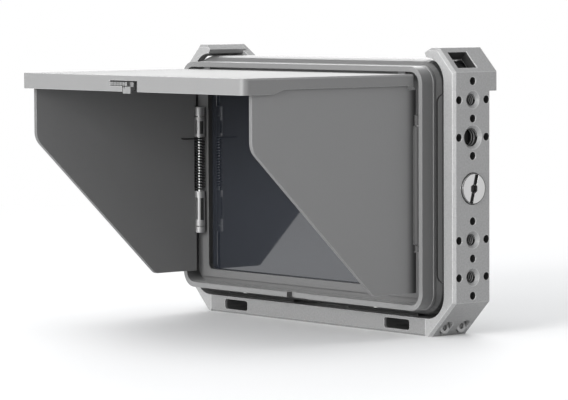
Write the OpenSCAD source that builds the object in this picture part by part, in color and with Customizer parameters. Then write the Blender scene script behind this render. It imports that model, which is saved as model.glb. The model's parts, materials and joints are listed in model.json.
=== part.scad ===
// Camera field monitor in a metal cage, with a folding sun hood on its front.
// Millimetres. +X is right for someone facing the screen, -Y points at that person, +Z is up.
// The origin is the middle of the thread in the underside of the bottom bar.

/* [Monitor] */
// Width of the monitor body
body_w = 170; // [168:0.2:174]
// Height of the monitor body
body_h = 110; // [109:0.2:114]
// Corner radius of the monitor body
body_r = 11.5; // [10:0.5:12]
// Reach of the body behind the middle of the cage
body_rear = 9.4; // [8:0.1:9.5]
// Distance of the joint between the two shells in front of the middle of the cage
shell_joint = 8; // [7:0.1:8.4]
// Distance of the window from the sides of the body
window_side = 13.7; // [13.5:0.1:16]
// Distance of the window from the top and bottom of the body
window_end = 11.05; // [10.75:0.05:12.5]
// Width of the border at the sides of the front ring
border_x = 7.6; // [7:0.1:7.8]
// Width of the border at the top and bottom of the front ring
border_z = 3.6; // [3.4:0.1:3.8]
// Height of the front ring above the channel round it
ring_rise = 1.7; // [1.2:0.1:1.8]
// Depth of the cover glass below the front ring
glass_sink = 2.5; // [2.3:0.1:2.8]
// Thickness of the cover glass
glass_t = 1.1; // [0.8:0.1:1.2]

/* [Cage] */
// Thickness of the side plates
plate_t = 6.5; // [6:0.1:7.5]
// Depth of the cage, front to back
cage_d = 21.8; // [21.6:0.1:23]
// Gap between a side plate and the monitor
side_gap = 0.8; // [0.5:0.1:1.2]
// Height of the bottom bar
bar_h = 7.75; // [7.6:0.05:8.5]
// Thickness of the pads between the bar and the monitor
pad_t = 1.45; // [1.2:0.05:2]
// Rise of the side plates above the monitor
ear_rise = 5.1; // [4.8:0.1:5.6]
// Size of the lower outer chamfer of a side plate
low_chamfer = 15.3; // [15:0.1:15.6]
// Size of the upper outer chamfer of a side plate
top_chamfer = 10.2; // [9.8:0.1:10.6]
// Size of the small chamfer along the outer edges of a side plate
edge_chamfer = 1.15; // [0.6:0.05:1.15]
// Reach of a side plate's foot inwards, to its joint with the bar
foot_l = 11.8; // [11.4:0.1:12.2]
// Length of a slot in the bar
bar_slot_l = 16.5; // [12:0.5:20]
// Height of a slot in the bar
bar_slot_h = 4.6; // [4.4:0.1:5]
// Corner radius of a slot in the bar
bar_slot_r = 1.3; // [0.8:0.1:2]
// Distance of the middle of a bar slot from the end of the bar
bar_slot_in = 18.5; // [18:0.5:34]
// Width of the strap slot through an ear, front to back
strap_w = 11.3; // [9:0.1:12]
// Length of the strap slot along the slope of an ear
strap_l = 9.6; // [8:0.1:10]
// Reach of the rear lip of a plate behind the middle of the cage
lip_reach = 14; // [13:0.1:15]
// Radius of the wall of a quarter inch tapped hole
quarter_r = 2.55; // [2.5:0.01:2.6]
// Radius of the wall of a three eighths inch tapped hole
eighths_r = 3.97; // [3.9:0.01:4.05]
// Radius of a locating hole
locate_r = 1.75; // [1.5:0.05:1.8]
// Distance of the locating holes from the tapped hole that they surround
locate_pitch = 8; // [7.8:0.1:8]
// Diameter of a clamp screw's head
coin_d = 13.2; // [12:0.1:13.4]

/* [Hood frame] */
// Distance of the hood frame from the sides of the body
hood_side = 2.5; // [2.3:0.1:3]
// Distance of the hood frame from the top and bottom of the body
hood_end = 2.65; // [2.5:0.05:2.8]
// Wall of the hood frame
hood_wall = 2.3; // [2.1:0.1:2.4]
// Depth of the hood frame
hood_d = 7.8; // [7.7:0.1:8.6]
// Outer corner radius of the hood frame
hood_r = 7.5; // [6.5:0.1:8]

/* [Flaps] */
// Distance of the top flap's sides from the sides of the hood frame
top_side = 4.4; // [4:0.1:4.5]
// Reach of the top flap in front of its hinge
top_reach = 96.2; // [95:0.2:110]
// Thickness of the top flap's sheet
top_t = 1.5; // [1.3:0.1:1.6]
// Depth of the top flap's front lip, sheet included
front_lip = 6.9; // [6.8:0.1:7.1]
// Depth of the top flap's side lips, sheet included
side_lip = 4.9; // [4.6:0.1:5]
// Thickness of a side flap
flap_t = 1.8; // [1.6:0.1:1.9]
// Distance of a side flap's outer face from the side of the hood frame
flap_side = 5.9; // [5.9:0.1:6.3]
// Reach of a side flap in front of its hinge
flap_reach = 92; // [90:0.5:92.5]
// Reach of a side flap's lower edge in front of its hinge
flap_low_reach = 25.8; // [20:0.2:40]
// Drop of a side flap's sloped edge from the bend in its front edge
flap_slope = 64; // [55:1:70]
// Gap between a side flap and the floor of the hood frame
flap_rise = 5.35; // [5.25:0.05:7.5]
// Outer diameter of a side hinge's barrels
barrel_d = 4.9; // [4.5:0.1:4.9]
// Diameter of a side hinge's pin
pin_d = 2; // [1.6:0.1:2.2]
// Diameter of a torsion spring's wire
wire_d = 0.7; // [0.5:0.05:0.75]
// Curls in a torsion spring
spring_turns = 18; // [12:1:20]

/* [Hidden] */

$fn = 64;
hull_fn = 32;

// Overrun of every cut past the face that it leaves by
over = 1;
// Clearance round a fixed pin or screw in its hole
fit = 0.05;
// Gap between a moving piece and what it passes
run_gap = 0.3;
root2 = sqrt(2);

// Heights and widths that the pieces share
body_z = bar_h + pad_t;
mid_z = body_z + body_h / 2;
plate_in = body_w / 2 + side_gap;
plate_out = plate_in + plate_t;
bar_joint = plate_in - foot_l;
bar_slot_x = bar_joint - bar_slot_in;
cage_h = body_z + body_h + ear_rise;
cage_front = -cage_d / 2;
cage_back = cage_d / 2;

// Front of the monitor: a flare, then the channel floor, then the ring
flare_d = 4.5;
flare_in = 2.5;
flare_mid_in = 0.7;
flare_mid_share = 0.5;
slice_t = 0.05;
floor_y = -shell_joint - flare_d;
ring_y = floor_y - ring_rise;
window_w = body_w - 2 * window_side;
window_h = body_h - 2 * window_end;
ring_w = window_w + 2 * border_x;
ring_h = window_h + 2 * border_z;
ring_r = 4;
window_r = 2.5;
glass_y = ring_y + glass_sink;
glass_lip = 2;
glass_r = 3;

// Screen stack behind the glass
stack_gap = 0.3;
lcd_t = 1.8;
lcd_in = 1;
light_t = 3;
lcd_y = glass_y + glass_t;
light_y = lcd_y + lcd_t;
spreader_t = 1.5;
spreader_y = light_y + light_t;
glass_w = window_w + 2 * glass_lip;
glass_h = window_h + 2 * glass_lip;

// Rear shell with its raised block
shell_side = 9;
shell_end = 7;
shell_back = 3;
shell_pocket_r = 8;
block_w = 112;
block_h = 76;
block_d = 6.6;
block_wall = 4;
block_r = 5;
block_y = body_rear + block_d;
vent_l = 26;
vent_h = 2;
vent_pitch = 5;
vent_count = 4;
vent_x = 36;

// Board on posts that stand on the back of the rear shell
board_t = 1.6;
board_side_gap = 10;
board_end_gap = 7;
board_w = body_w - 2 * (shell_side + board_side_gap);
board_h = body_h - 2 * (shell_end + board_end_gap);
board_y = 0.4;
post_r = 3;
post_in = 5;
board_hole_r = 1;
board_head_r = 1.9;
board_head_t = 1.2;
board_screw_l = 4;

// Screws that hold the two shells together
shell_screw_in = 6.6;
shell_screw_r = 1.25;
shell_head_r = 2.3;
shell_head_t = 1.6;
shell_head_sink = 2;
shell_screw_tip = 3;
hex_share = 0.5;

// Covers in the sides of the monitor
cover_t = 3;
cover_end = 13.5;
cover_h = body_h - 2 * cover_end;
cover_r = 4.5;
cover_front = 12.2;
cover_back = 8.2;
cover_gap = 0.15;
cover_hole_gap = 0.8;

// Outline, lip and holes of a side plate
inner_r = 10.6;
arm_t = 4.1;
arm_tip_in = 8.6;
arm_tip_x = plate_in - arm_tip_in;
arm_tip_run = 3.3;
arm_tip_drop = 2.1;
arm_root_back = 2.4;
lip_drop = 18.5;
lip_corner_run = 3.1;
lip_slope_run = 17;
lip_slope_drop = 10.6;
lip_gap = 0.35;
near_in = 33;
near_thread = body_h / 2 - near_in;
far_thread = near_thread + 2 * locate_pitch;
locate_depth = 5;
quarter_sink = 1.3;
eighths_sink = 1.25;
strap_y = -1.35;
strap_depth = 7;

// Screws at the lower corners of the cage
corner_screw_y = 4.9;
corner_screw_z = 3.9;
corner_seat = 3;
corner_head_r = 2.75;
corner_head_t = 2.9;
corner_sink_gap = 0.15;
corner_hex_r = 1.45;
corner_hex_t = 1.5;
corner_shank_r = 1.5;
corner_thread_l = 8;
bar_chamfer = 1;
bar_slot_z = 4.15;
pad_l = 46;
pad_in = 32;
pad_x = bar_joint - pad_in;
pad_w = 14;

// Clamp screws
coin_t = 3.4;
coin_seat = 2.5;
coin_gap = 0.35;
coin_slot_w = 2;
coin_slot_t = 1.3;
coin_tilt = 15;
coin_hex_r = 2.2;
coin_hex_t = 2;
coin_shank_r = 3.1;
coin_fit = 0.08;
coin_thread_l = 6.5;
socket_end_gap = 0.7;

// Hood frame with its ridge, latch notch and screws
hood_w = body_w - 2 * hood_side;
hood_h = body_h - 2 * hood_end;
frame_y = floor_y - hood_d;
frame_in_w = hood_w - 2 * hood_wall;
frame_in_h = hood_h - 2 * hood_wall;
frame_in_r = hood_r - hood_wall;
frame_in_top = mid_z + frame_in_h / 2;
frame_low = mid_z - hood_h / 2;
ridge_out = 0.25;
ridge_back = 0.3;
ridge_d = 1.2;
notch_x = -7.6;
notch_w = 14.5;
notch_open = 3.6;
notch_open_d = 3;
notch_step_d = 1.1;
hood_screw_side = 37.5;
hood_screw_x = hood_w / 2 - hood_screw_side;
hood_screw_y = 0.9;
hood_screw_r = 0.6;
hood_head_r = 1.2;
hood_head_t = 1;
hood_screw_in = 2;

// Hinge of the top flap
top_gap = 1;
top_z = frame_in_top - top_gap;
axis_back = 1.8;
axis_drop = 2.5;
top_axis_y = frame_y + axis_back;
top_axis_z = top_z - axis_drop;
knuckle_r = 1.7;
top_w = hood_w - 2 * top_side;
knuckle_side = 11.1;
knuckle_x = top_w / 2 - knuckle_side;
lug_w = 4.5;
ear_w = 2.5;
top_pin_r = 0.75;
lug_web_gap = 0.5;
lug_notch = 1.7;
top_edge_gap = 0.1;

// Sheet and lips of the top flap
top_front = top_axis_y - top_reach;
top_corner_r = 3;
side_lip_t = 1.2;
deep_lip_l = 15.7;
lip_slope_l = 6;
top_bevel = 0.6;
rear_cut_x = 2.8;
rear_cut_y = 2.7;

// Latch in the front lip
latch_x = -12.5;
latch_w = 19.4;
latch_top = 2.2;
latch_low = 4.6;
hook_notch_x = -3.8;
grip_x = -12.3;
grip_w = 11.9;
grip_h = 1.6;
grip_top = 2.8;
groove_d = 0.3;
groove_w = 0.45;
groove_pitch = 1.1;
groove_count = 9;
hook_x = -3.4;
hook_w = 5.4;
hook_low = 7.7;
slide_t = 1.1;
slide_w = hook_x + hook_w - grip_x;
slide_low = 6.1;
latch_gap = 0.2;
housing_wall = 1.6;
housing_low = 6.6;

// Side flaps
flap_drop = 3.05;
flap_top = top_z - top_t - flap_drop;
flap_low = frame_low + hood_wall + flap_rise;
flap_face = hood_w / 2 - flap_side;
flap_edge_gap = 1.6;
flap_tip_r = 2;
flap_bend_r = 8;
flap_low_r = 3;
flap_notch_l = 4.5;
flap_notch_h = 2.2;
bend_steps = 8;

// Side hinges, each from its lower cap up to its upper cap
barrel_r = barrel_d / 2;
pin_r = pin_d / 2;
hinge_back = 0.35;
side_axis_y = ring_y - hinge_back - barrel_r;
left_axis_in = 2.35;
right_axis_in = left_axis_in - flap_t - run_gap;
left_axis_x = flap_face - left_axis_in;
right_axis_x = flap_face - right_axis_in;
hinge_drop = 27;
hinge_low = mid_z - hinge_drop;
cap_r = barrel_r;
cap_low_l = 2.8;
barrel_low_l = 16.1;
spring_l = 25.3;
barrel_high_l = 9.3;
cap_high_l = 4.3;
barrel_low_z = hinge_low + cap_low_l + run_gap;
spring_z = barrel_low_z + barrel_low_l;
barrel_high_z = spring_z + spring_l;
cap_high_z = barrel_high_z + barrel_high_l + run_gap;
hinge_high = cap_high_z + cap_high_l;
web_front = 1.1;
web_back = 1.1;
window_wide = 2.2;
window_sink = 1.5;
window_end_low = 3;
window_end_high = 1.5;
hinge_skin = 0.7;

// Torsion springs
curl_rings = 8;
wire_sides = 6;
coil_r = barrel_r - wire_d / 2;
stub_share = 1.4;
coil_low = spring_z + wire_d * stub_share;
coil_high = barrel_high_z - wire_d;
leg_l = 9.9;
leg_foot_right = 1.2;

// Battery plate, sockets and buttons on the back
pack_w = 44;
pack_h = 66;
pack_t = 3;
pack_r = 3;
pack_y = block_y + pack_t;
rail_w = 3;
rail_x = 17;
rail_t = 1.2;
contact_w = 1.4;
contact_h = 6;
contact_d = 1.2;
contact_pitch = 4.5;
contact_in = 13;
contact_z = pack_h / 2 - contact_in;
pack_screw_side = 10;
pack_screw_x = pack_w / 2 - pack_screw_side;
pack_screw_in = 6;
pack_screw_z = pack_h / 2 - pack_screw_in;
pack_screw_r = 1.25;
pack_head_r = 2.2;
pack_head_t = 1.4;
pack_sink = 1.6;
pack_screw_l = 5;
release_w = 12;
release_h = 6;
release_t = 2.6;
release_in = 9;
release_z = pack_h / 2 - release_in;
release_travel = 2.5;
release_gap = 0.25;
release_floor = 0.8;
socket_w = 15;
socket_d = 5.4;
socket_l = 3.6;
socket_wall = 0.5;
socket_z = 14;
jack_r = 2.6;
jack_bore_r = 1.75;
jack_z = -10;
power_r = 2.6;
power_l = 3.2;
power_out = 0.8;
power_bore = 3.2;
power_z = 12;
power_fit = 0.15;
back_mid_y = body_rear + block_d / 2;

// Shapes that the sub-parts share

// Rectangle with round corners
module rounded(w, h, r) {
    square([w - 2 * r, h], center = true);
    square([w, h - 2 * r], center = true);
    for (sx = [-1, 1], sz = [-1, 1])
        translate([sx * (w / 2 - r), sz * (h / 2 - r)])
            circle(r);
}

// Round-cornered panel that faces the viewer, about the middle of the screen
module slab(w, h, r, y0, y1) {
    translate([0, y0, mid_z])
        rotate([-90, 0, 0])
            linear_extrude(y1 - y0)
                rounded(w, h, r);
}

// Outline in X and Z, run from front to back
module across(y0, y1) {
    translate([0, y1, 0])
        rotate([90, 0, 0])
            linear_extrude(y1 - y0)
                children();
}

// Outline in Y and Z, run from left to right
module sideways(x0, x1) {
    translate([x0, 0, 0])
        rotate([90, 0, 90])
            linear_extrude(x1 - x0)
                children();
}

module block(x0, x1, y0, y1, z0, z1) {
    translate([x0, y0, z0])
        cube([x1 - x0, y1 - y0, z1 - z0]);
}

module rod_x(x0, x1, y, z, r) {
    translate([x0, y, z])
        rotate([0, 90, 0])
            cylinder(h = x1 - x0, r = r);
}

module rod_y(y0, y1, x, z, r) {
    translate([x, y0, z])
        rotate([-90, 0, 0])
            cylinder(h = y1 - y0, r = r);
}

module rod_z(z0, z1, x, y, r) {
    translate([x, y, z0])
        cylinder(h = z1 - z0, r = r);
}

module left_side() {
    mirror([1, 0, 0])
        children();
}

module both_sides() {
    children();
    mirror([1, 0, 0])
        children();
}

// Half space beyond a small chamfer on a front or rear edge. The face that the edge
// bounds looks along an angle from +X towards +Z, at a distance from the origin.
module edge_cut(angle, distance, y, way) {
    rotate([0, -angle, 0])
        translate([0, 0, -cage_h * 2])
            linear_extrude(cage_h * 4)
                polygon([
                    [distance - edge_chamfer - over, y - way * over],
                    [distance + over, y - way * over],
                    [distance + over, y + way * (edge_chamfer + over)]
                ]);
}

// Points of a round bend at b, between the straight runs from a and to c
function unit(v) = v / norm(v);
function bend(a, b, c, r) =
    let (
        u = unit(a - b),
        w = unit(c - b),
        half = acos(u * w) / 2,
        middle = b + unit(u + w) * r / sin(half),
        start = b + u * r / tan(half) - middle,
        finish = b + w * r / tan(half) - middle,
        turn = acos(unit(start) * unit(finish)),
        way = sign(start[0] * finish[1] - start[1] * finish[0])
    )
    [for (i = [0 : bend_steps])
        let (t = way * turn * i / bend_steps)
        middle + [
            start[0] * cos(t) - start[1] * sin(t),
            start[0] * sin(t) + start[1] * cos(t)
        ]];

// Cage

module bar_outline() {
    polygon([
        [cage_front + bar_chamfer, 0], [cage_back - bar_chamfer, 0],
        [cage_back, bar_chamfer], [cage_back, bar_h],
        [cage_front, bar_h], [cage_front, bar_chamfer]
    ]);
}

module bar_slot() {
    across(cage_front - over, cage_back + over)
        translate([bar_slot_x, bar_slot_z])
            rounded(bar_slot_l, bar_slot_h, bar_slot_r);
}

module bottom_bar() {
    color("darkgray")
        difference() {
            sideways(-bar_joint, bar_joint)
                bar_outline();
            both_sides() {
                bar_slot();
                for (way = [-1, 1])
                    rod_x(bar_joint - corner_thread_l - fit, bar_joint + over,
                        way * corner_screw_y, corner_screw_z, corner_shank_r + fit);
            }
            rod_z(-over, bar_h + over, 0, 0, quarter_r);
        }
}

module plate_outline() {
    arm_low = cage_h - arm_t;
    difference() {
        polygon([
            [bar_joint, 0], [plate_out - low_chamfer, 0], [plate_out, low_chamfer],
            [plate_out, cage_h - top_chamfer], [plate_out - top_chamfer, cage_h],
            [arm_tip_x, cage_h], [arm_tip_x - arm_tip_run, cage_h - arm_tip_drop],
            [arm_tip_x - arm_root_back, arm_low - fit], [bar_joint, bar_h]
        ]);
        translate([0, (bar_h + arm_low) / 2])
            rounded(2 * plate_in, arm_low - bar_h, inner_r);
    }
}

module lip_outline() {
    corner_x = plate_out - top_chamfer - lip_corner_run;
    polygon([
        [plate_out, cage_h - lip_drop], [plate_out, cage_h - top_chamfer],
        [plate_out - top_chamfer, cage_h], [corner_x, cage_h],
        [corner_x - lip_slope_run, cage_h - lip_slope_drop],
        [corner_x - lip_slope_run, cage_h - lip_drop]
    ]);
}

// Tapped hole in a side plate with its lead-in and the locating holes beside it
module plate_hole(z, r, sink) {
    rod_x(plate_in - over, plate_out + over, 0, z, r);
    translate([plate_out - sink, 0, z])
        rotate([0, 90, 0])
            cylinder(h = sink + over, r1 = r, r2 = r + sink + over);
    for (way = [-1, 1])
        rod_x(plate_out - locate_depth, plate_out + over, way * locate_pitch, z, locate_r);
}

module strap_slot() {
    corner_x = plate_out - top_chamfer / 2;
    corner_z = cage_h - top_chamfer / 2;
    translate([corner_x, strap_y, corner_z])
        rotate([0, 45, 0])
            translate([-strap_l / 2, -strap_w / 2, -strap_depth])
                cube([strap_l, strap_w, strap_depth + over * 2]);
}

module side_plate() {
    difference() {
        union() {
            difference() {
                across(cage_front, cage_back)
                    plate_outline();
                edge_cut(0, plate_out, cage_back, -1);
                edge_cut(-45, (plate_out - low_chamfer) / root2, cage_back, -1);
            }
            across(body_rear + lip_gap, lip_reach)
                lip_outline();
        }
        edge_cut(0, plate_out, cage_front, 1);
        edge_cut(45, (plate_out + cage_h - top_chamfer) / root2, cage_front, 1);
        edge_cut(90, cage_h, cage_front, 1);
        edge_cut(-45, (plate_out - low_chamfer) / root2, cage_front, 1);
        for (way = [-1, 1]) {
            rod_x(bar_joint - over, plate_out, way * corner_screw_y, corner_screw_z,
                corner_shank_r + fit);
            rod_x(bar_joint + corner_seat, plate_out, way * corner_screw_y, corner_screw_z,
                corner_head_r + corner_sink_gap);
            for (z = [near_thread - locate_pitch, near_thread + locate_pitch,
                      far_thread + locate_pitch])
                rod_x(plate_out - locate_depth, plate_out + over, 0, mid_z + way * z, locate_r);
        }
        plate_hole(mid_z + far_thread, quarter_r, quarter_sink);
        plate_hole(mid_z + near_thread, eighths_r, eighths_sink);
        plate_hole(mid_z - near_thread, quarter_r, quarter_sink);
        plate_hole(mid_z - far_thread, quarter_r, quarter_sink);
        rod_x(plate_in - over, plate_out + over, 0, mid_z, coin_shank_r + coin_fit);
        rod_x(plate_out - coin_seat, plate_out + over, 0, mid_z, coin_d / 2 + coin_gap);
        strap_slot();
    }
}

module left_side_plate() {
    color("darkgray")
        left_side()
            side_plate();
}

module right_side_plate() {
    color("darkgray")
        side_plate();
}

module corner_screw(y) {
    seat_x = bar_joint + corner_seat;
    difference() {
        union() {
            rod_x(bar_joint - corner_thread_l, seat_x + fit, y, corner_screw_z, corner_shank_r);
            rod_x(seat_x, seat_x + corner_head_t, y, corner_screw_z, corner_head_r);
        }
        translate([seat_x + corner_head_t - corner_hex_t, y, corner_screw_z])
            rotate([0, 90, 0])
                cylinder(h = corner_hex_t + over, r = corner_hex_r, $fn = 6);
    }
}

module cage_corner_screws() {
    color("dimgray")
        both_sides()
            for (way = [-1, 1])
                corner_screw(way * corner_screw_y);
}

module clamp_screw() {
    seat_x = plate_out - coin_seat;
    face_x = seat_x + coin_t;
    difference() {
        union() {
            rod_x(seat_x, face_x, 0, mid_z, coin_d / 2);
            rod_x(body_w / 2 - coin_thread_l, seat_x + fit, 0, mid_z, coin_shank_r);
        }
        translate([face_x - coin_slot_t, 0, mid_z])
            rotate([-coin_tilt, 0, 0])
                translate([0, -coin_slot_w / 2, -coin_d])
                    cube([coin_t, coin_slot_w, 2 * coin_d]);
        translate([face_x - coin_hex_t, 0, mid_z])
            rotate([0, 90, 0])
                cylinder(h = coin_hex_t + over, r = coin_hex_r, $fn = 6);
    }
}

module left_clamp_screw() {
    color("silver")
        left_side()
            clamp_screw();
}

module right_clamp_screw() {
    color("silver")
        clamp_screw();
}

module cage_pads() {
    color("black")
        both_sides()
            block(pad_x - pad_l / 2, pad_x + pad_l / 2, -pad_w / 2, pad_w / 2, bar_h, body_z);
}

// Monitor

// Thin slice of the flare, as round as the body
module flare_slice(inset, y) {
    translate([0, y, mid_z])
        rotate([-90, 0, 0])
            linear_extrude(slice_t)
                rounded(body_w - 2 * inset, body_h - 2 * inset, body_r - inset, $fn = hull_fn);
}

module flare() {
    mid_y = floor_y + flare_d * flare_mid_share;
    hull() {
        flare_slice(flare_in, floor_y);
        flare_slice(flare_mid_in, mid_y);
    }
    hull() {
        flare_slice(flare_mid_in, mid_y);
        flare_slice(0, -shell_joint - slice_t);
    }
}

module cover_prism(x0, gap) {
    translate([x0, 0, 0])
        rotate([90, 0, 90])
            linear_extrude(body_w)
                translate([(cover_back - cover_front) / 2, mid_z])
                    rounded(cover_back + cover_front - 2 * gap, cover_h - 2 * gap, cover_r);
}

module shell_screw_places() {
    for (sx = [-1, 1], sz = [-1, 1])
        translate([sx * (body_w / 2 - shell_screw_in), 0,
                   mid_z + sz * (body_h / 2 - shell_screw_in)])
            children();
}

module front_shell() {
    color("gray")
        difference() {
            union() {
                flare();
                slab(ring_w, ring_h, ring_r, ring_y, floor_y + slice_t);
            }
            slab(window_w, window_h, window_r, ring_y - over, glass_y + over);
            slab(glass_w + 2 * stack_gap, glass_h + 2 * stack_gap, glass_r, glass_y, over);
            both_sides()
                cover_prism(body_w / 2 - cover_t, 0);
            shell_screw_places()
                rod_y(-shell_joint - shell_screw_tip, over, 0, 0, shell_screw_r + fit);
        }
}

module vent_slots() {
    for (sx = [-1, 1], i = [0 : vent_count - 1])
        translate([sx * vent_x, 0, mid_z + (i - (vent_count - 1) / 2) * vent_pitch])
            rotate([-90, 0, 0])
                linear_extrude(block_y + over)
                    rounded(vent_l, vent_h, vent_h / 2 - fit);
}

module post_places() {
    for (sx = [-1, 1], sz = [-1, 1])
        translate([sx * (board_w / 2 - post_in), 0, mid_z + sz * (board_h / 2 - post_in)])
            children();
}

module pack_screw_places() {
    for (sx = [-1, 1], sz = [-1, 1])
        translate([sx * pack_screw_x, 0, mid_z + sz * pack_screw_z])
            children();
}

module rear_shell() {
    floor_back = body_rear - shell_back;
    post_y = board_y + board_t;
    screw_y = board_y + board_screw_l;
    color("gray")
        difference() {
            union() {
                difference() {
                    union() {
                        slab(body_w, body_h, body_r, -shell_joint, body_rear);
                        slab(block_w, block_h, block_r, body_rear - shell_back, block_y);
                    }
                    slab(body_w - 2 * shell_side, body_h - 2 * shell_end, shell_pocket_r,
                        -shell_joint - over, floor_back);
                    slab(block_w - 2 * block_wall, block_h - 2 * block_wall, block_r - fit,
                        floor_back - over, block_y - shell_back);
                }
                post_places()
                    rod_y(post_y, floor_back + fit, 0, 0, post_r);
            }
            post_places()
                rod_y(post_y - over, screw_y + fit, 0, 0, board_hole_r + fit);
            both_sides() {
                cover_prism(body_w / 2 - cover_t, 0);
                rod_x(body_w / 2 - coin_thread_l - socket_end_gap, body_w / 2 + over, 0, mid_z,
                    coin_shank_r + coin_fit);
            }
            shell_screw_places() {
                rod_y(-shell_joint - over, body_rear, 0, 0, shell_screw_r + fit);
                rod_y(body_rear - shell_head_sink, body_rear + over, 0, 0, shell_head_r + fit);
            }
            pack_screw_places()
                rod_y(pack_y - pack_sink - pack_screw_l - fit, block_y + over, 0, 0,
                    pack_screw_r + fit);
            vent_slots();
            socket_body(fit, over);
            jack_body(fit, over);
            rod_x(block_w / 2 - power_bore, block_w / 2 + over, back_mid_y, mid_z + power_z,
                power_r + power_fit);
        }
}

module screen_glass() {
    color("darkslategray")
        slab(glass_w, glass_h, glass_r, glass_y, lcd_y);
}

module lcd_panel() {
    color("black")
        slab(glass_w - 2 * lcd_in, glass_h - 2 * lcd_in, glass_r, lcd_y, light_y);
}

module backlight() {
    color("white")
        slab(glass_w, glass_h, glass_r, light_y, spreader_y);
}

module heat_spreader() {
    color("silver")
        slab(glass_w, glass_h, glass_r, spreader_y, spreader_y + spreader_t);
}

module main_board() {
    color("darkgreen")
        difference() {
            slab(board_w, board_h, post_r, board_y, board_y + board_t);
            post_places()
                rod_y(board_y - over, board_y + board_t + over, 0, 0, board_hole_r + fit);
        }
}

module board_screws() {
    color("silver")
        post_places()
            difference() {
                union() {
                    rod_y(board_y - board_head_t, board_y, 0, 0, board_head_r);
                    rod_y(board_y - fit, board_y + board_screw_l, 0, 0, board_hole_r);
                }
                translate([0, board_y - board_head_t - over, 0])
                    rotate([-90, 0, 0])
                        cylinder(h = over + board_head_t / 2, r = board_head_r * hex_share, $fn = 6);
            }
}

module shell_screws() {
    head_y = body_rear - shell_head_sink;
    color("dimgray")
        shell_screw_places()
            difference() {
                union() {
                    rod_y(head_y, head_y + shell_head_t, 0, 0, shell_head_r);
                    rod_y(-shell_joint - shell_screw_tip + fit, head_y + fit, 0, 0, shell_screw_r);
                }
                translate([0, head_y + shell_head_t / 2, 0])
                    rotate([-90, 0, 0])
                        cylinder(h = shell_head_t, r = shell_head_r * hex_share, $fn = 6);
            }
}

module side_cover() {
    difference() {
        intersection() {
            union() {
                flare();
                slab(body_w, body_h, body_r, -shell_joint - slice_t, body_rear);
            }
            cover_prism(body_w / 2 - cover_t + fit, cover_gap);
        }
        rod_x(body_w / 2 - cover_t - over, body_w / 2 + over, 0, mid_z,
            coin_shank_r + cover_hole_gap);
    }
}

module left_side_cover() {
    color("dimgray")
        left_side()
            side_cover();
}

module right_side_cover() {
    color("dimgray")
        side_cover();
}

// Back of the monitor

module release_pocket(gap, travel) {
    z = mid_z - release_z;
    block(-release_w / 2 - gap, release_w / 2 + gap, pack_y - release_t - gap, pack_y + over,
        z - release_h / 2 - gap - travel, z + release_h / 2 + gap);
}

module battery_plate() {
    color("dimgray")
        difference() {
            union() {
                slab(pack_w, pack_h, pack_r, block_y, pack_y);
                both_sides()
                    block(rail_x, rail_x + rail_w, pack_y - fit, pack_y + rail_t,
                        mid_z - pack_h / 2 + pack_r, mid_z + pack_h / 2 - pack_r);
            }
            release_pocket(release_gap, release_travel);
            pack_screw_places() {
                rod_y(block_y - over, pack_y, 0, 0, pack_screw_r + fit);
                rod_y(pack_y - pack_sink, pack_y + over, 0, 0, pack_head_r + fit);
            }
        }
}

module battery_contacts() {
    color("gold")
        for (i = [-1 : 1])
            block(i * contact_pitch - contact_w / 2, i * contact_pitch + contact_w / 2,
                pack_y, pack_y + contact_d,
                mid_z + contact_z - contact_h / 2, mid_z + contact_z + contact_h / 2);
}

module battery_plate_screws() {
    head_y = pack_y - pack_sink;
    color("silver")
        pack_screw_places()
            difference() {
                union() {
                    rod_y(head_y, head_y + pack_head_t, 0, 0, pack_head_r);
                    rod_y(head_y - pack_screw_l, head_y + fit, 0, 0, pack_screw_r);
                }
                translate([0, head_y + pack_head_t / 2, 0])
                    rotate([-90, 0, 0])
                        cylinder(h = pack_head_t, r = pack_head_r * hex_share, $fn = 6);
            }
}

module battery_release() {
    z = mid_z - release_z;
    color("black")
        difference() {
            block(-release_w / 2, release_w / 2, pack_y - release_t, pack_y + release_floor,
                z - release_h / 2, z + release_h / 2);
            for (i = [-1 : 1])
                block(-release_w / 2 - over, release_w / 2 + over,
                    pack_y + release_floor - groove_d, pack_y + release_floor + over,
                    z + i * 2 * groove_pitch - groove_w / 2, z + i * 2 * groove_pitch + groove_w / 2);
        }
}

module socket_body(gap, reach) {
    x = -block_w / 2;
    block(x - reach, x + socket_l + gap, back_mid_y - socket_d / 2 - gap,
        back_mid_y + socket_d / 2 + gap,
        mid_z + socket_z - socket_w / 2 - gap, mid_z + socket_z + socket_w / 2 + gap);
}

module jack_body(gap, reach) {
    x = -block_w / 2;
    rod_x(x - reach, x + socket_l + gap, back_mid_y, mid_z + jack_z, jack_r + gap);
}

module port_sockets() {
    x = -block_w / 2;
    color("silver")
        difference() {
            union() {
                socket_body(0, 0);
                jack_body(0, 0);
            }
            block(x - over, x + socket_l - socket_wall,
                back_mid_y - socket_d / 2 + socket_wall, back_mid_y + socket_d / 2 - socket_wall,
                mid_z + socket_z - socket_w / 2 + socket_wall,
                mid_z + socket_z + socket_w / 2 - socket_wall);
            rod_x(x - over, x + socket_l - socket_wall, back_mid_y, mid_z + jack_z, jack_bore_r);
        }
}

module power_button() {
    color("dimgray")
        rod_x(block_w / 2 + power_out - power_l, block_w / 2 + power_out, back_mid_y,
            mid_z + power_z, power_r);
}

// Hood frame

module top_lug(x) {
    difference() {
        union() {
            rod_x(x - lug_w / 2, x + lug_w / 2, top_axis_y, top_axis_z, knuckle_r);
            block(x - lug_w / 2, x + lug_w / 2, top_axis_y + lug_web_gap, top_axis_y + knuckle_r,
                top_axis_z, frame_in_top + ridge_out);
        }
        rod_x(x - lug_w, x + lug_w, top_axis_y, top_axis_z, top_pin_r + fit);
    }
}

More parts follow.
